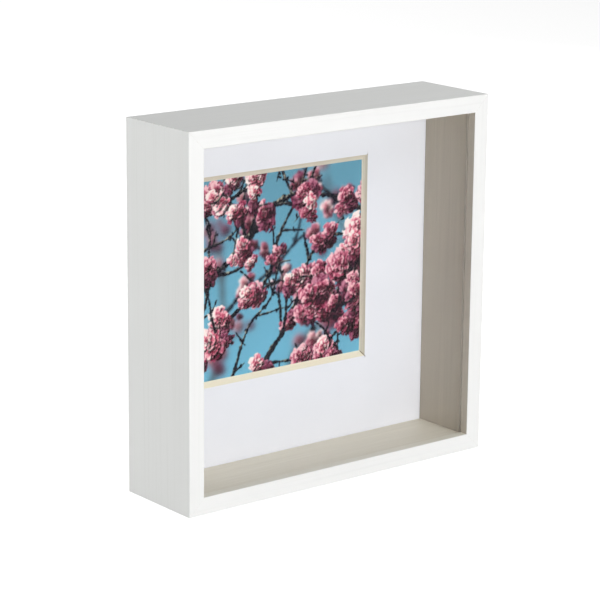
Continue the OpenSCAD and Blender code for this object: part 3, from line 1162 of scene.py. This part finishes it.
def make_rivets(metal):
    """Domed heads with a small pressed rim, on shafts that stop in the panel."""
    low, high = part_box("hanger_rivets")
    head_r = (high.z - low.z) / 2
    head_z = (low.z + high.z) / 2
    spread = (high.x - low.x) / 2 - head_r
    head_base = high.y - 1.0 * MM
    rim, ease, dome = 0.16 * MM, 0.12 * MM, 0.84 * MM
    shaft_r, shaft_end = 1.5 * MM, low.y + 0.02 * MM
    pole = 0.002 * MM  # a small ring in place of a point at each end
    profile = [(pole, shaft_end), (shaft_r, shaft_end), (shaft_r, head_base)]
    profile += [(head_r - 0.1 * MM, head_base), (head_r, head_base + ease)]
    for k in range(9):
        turn = math.pi / 2 * k / 8
        radius = max(head_r * 0.97 * math.cos(turn), pole)
        profile.append((radius, head_base + rim + dome * math.sin(turn)))
    steps = 36
    turns = [2 * math.pi * k / steps for k in range(steps)]
    verts, faces = [], []
    for side in (-1, 1):
        start = len(verts)
        rings = []
        for radius, y in profile:
            xs = [side * spread + radius * math.cos(turn) for turn in turns]
            rings.append([(x, y, head_z + radius * math.sin(turn)) for x, turn in zip(xs, turns)])
        more_verts, more_faces = lofted(rings)
        verts += more_verts
        faces += [tuple(start + k for k in face) for face in more_faces]
    mesh = mesh_from("rivets", verts, faces)
    shade(mesh, 40)
    add_piece("strap_rivets", mesh, [metal], stands_for=["hanger_rivets"])


# -------------------- kept CAD nodes


def finish_node(node, material):
    """Gives a CAD solid that stays in view its material."""
    slots = frame["nodes"][node].data.materials
    slots.clear()
    slots.append(material)


# -------------------- camera, floor and light


def outward(azimuth, elevation):
    """The way from the frame to a compass direction in radians; azimuth 0 is straight in front."""
    level = math.cos(elevation)
    return Vector((math.sin(azimuth) * level, -math.cos(azimuth) * level, math.sin(elevation)))


def make_camera():
    azimuth, elevation, roll = (math.radians(a) for a in (-38.6, 14.2, 0.53))
    aim = Vector((-32.1 * MM, FRONT_Y, 115.0 * MM))
    away = 1.38
    forward = -outward(azimuth, elevation)
    right = Vector((math.cos(azimuth), math.sin(azimuth), 0))
    up = right.cross(forward)
    tilted_right = right * math.cos(roll) + up * math.sin(roll)
    tilted_up = up * math.cos(roll) - right * math.sin(roll)
    lens = bpy.data.cameras.new("camera")
    lens.sensor_width = 36
    lens.lens = 145.4
    lens.clip_start = 0.02
    lens.clip_end = 60
    camera = add_object("camera", lens)
    turn = Matrix((tilted_right, tilted_up, -forward)).transposed().to_4x4()
    camera.matrix_world = Matrix.Translation(aim - forward * away) @ turn
    bpy.context.scene.camera = camera


def make_floor():
    half, drop = 14.0, 0.1 * MM
    mesh = bpy.data.meshes.new("floor")
    corners = [(-half, -half, -drop), (half, -half, -drop), (half, half, -drop), (-half, half, -drop)]
    mesh.from_pydata(corners, [], [(0, 1, 2, 3)])
    mesh.materials.append(studio_floor())
    floor = add_object("floor", mesh)


def soft_light(name, azimuth, elevation, distance, size, power, tint=(1, 1, 1), glossy=False):
    """A square soft box that looks at the frame; only a glossy one shows in reflections."""
    way = outward(math.radians(azimuth), math.radians(elevation))
    light = bpy.data.lights.new(name, "AREA")
    light.shape = "SQUARE"
    light.size = size
    light.energy = power
    light.color = tint
    lamp = add_object(name, light)
    lamp.location = Vector((0, 0, MID_Z)) + way * distance
    lamp.rotation_euler = way.to_track_quat("Z", "Y").to_euler()
    lamp.visible_camera = False
    lamp.visible_glossy = glossy


def make_world():
    """A faint even light from all round."""
    world = bpy.data.worlds.new("studio")
    bpy.context.scene.world = world
    world.use_nodes = True
    background = world.node_tree.nodes["Background"]
    background.inputs["Color"].default_value = rgba(1, 1, 1)
    background.inputs["Strength"].default_value = 0.05


COOL = (0.98, 1, 0.995)
GREENISH = (0.98, 1, 0.985)


def make_studio():
    make_world()
    make_floor()
    soft_light("front", azimuth=-8, elevation=5, distance=2.2, size=1.0, power=37.2)
    soft_light("high", azimuth=-2, elevation=50, distance=2.0, size=1.1, power=9.7)
    soft_light("above", azimuth=85, elevation=70, distance=1.1, size=0.8, power=4.1, tint=COOL)
    soft_light("left", azimuth=-128, elevation=11, distance=1.9, size=1.2, power=19.3, tint=GREENISH)
    soft_light("right", azimuth=112, elevation=20, distance=1.6, size=0.8, power=4.0)
    soft_light("back", azimuth=186, elevation=14, distance=4.2, size=2.5, power=61.0, glossy=True)
    bpy.context.scene.view_settings.view_transform = "Standard"


# -------------------- the whole scene

make_camera()
make_studio()
make_rails()
make_glass()
make_spacers()
make_mat()
make_print()
make_back_panel()

zinc = zinc_steel()
nickel = nickel_steel()
for tab_side, runs in AXIS_OF.items():
    for place in ("left", "right") if runs == "X" else ("lower", "upper"):
        make_tab("tab_" + tab_side + "_" + place, tab_side, zinc)
make_ring(nickel)
make_strap(nickel)
make_rivets(nickel)
finish_node("corner_v_nails", zinc)
finish_node("tab_anchors", zinc)
finish_node("print_tape", paper_tape())
